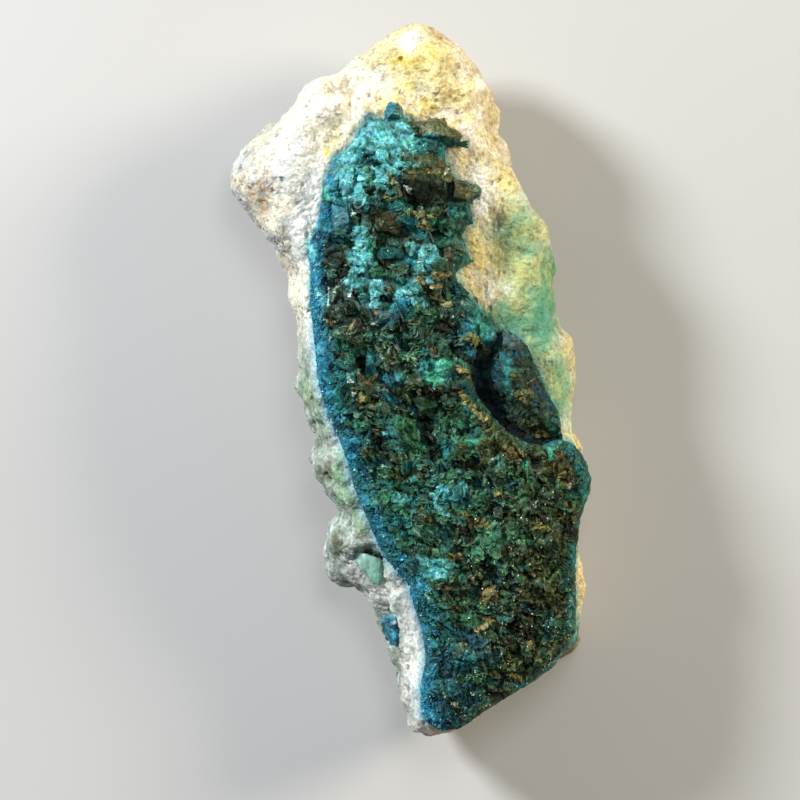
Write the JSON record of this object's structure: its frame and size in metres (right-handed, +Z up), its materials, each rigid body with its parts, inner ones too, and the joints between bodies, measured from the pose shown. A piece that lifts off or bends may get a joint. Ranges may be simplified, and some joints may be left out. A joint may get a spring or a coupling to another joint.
{
  "type": "mineral specimen",
  "caption": "Elongated natural mineral specimen lying on its broken back: a crust of dark blue-green crystals over the upper face of a rough piece of pale rock.",
  "frame": {"origin": "under the middle of the specimen's box, on the surface that it rests on", "axes": "+Z up out of the crystal crust, +Y along the length towards the wide bare end of the rock, +X to the right when looking down on the crust"},
  "size_m": [0.0328, 0.0649, 0.0164],
  "materials": {
    "pale_rock": "matte",
    "veszelyite": "gloss",
    "green_mineral": "satin"
  },
  "bodies": {
    "root": {"host_rock": "pale_rock", "veszelyite_crust": "veszelyite", "veszelyite_right_group": "veszelyite", "veszelyite_side_cluster": "veszelyite", "green_nodule": "green_mineral"}
  },
  "joints": []
}
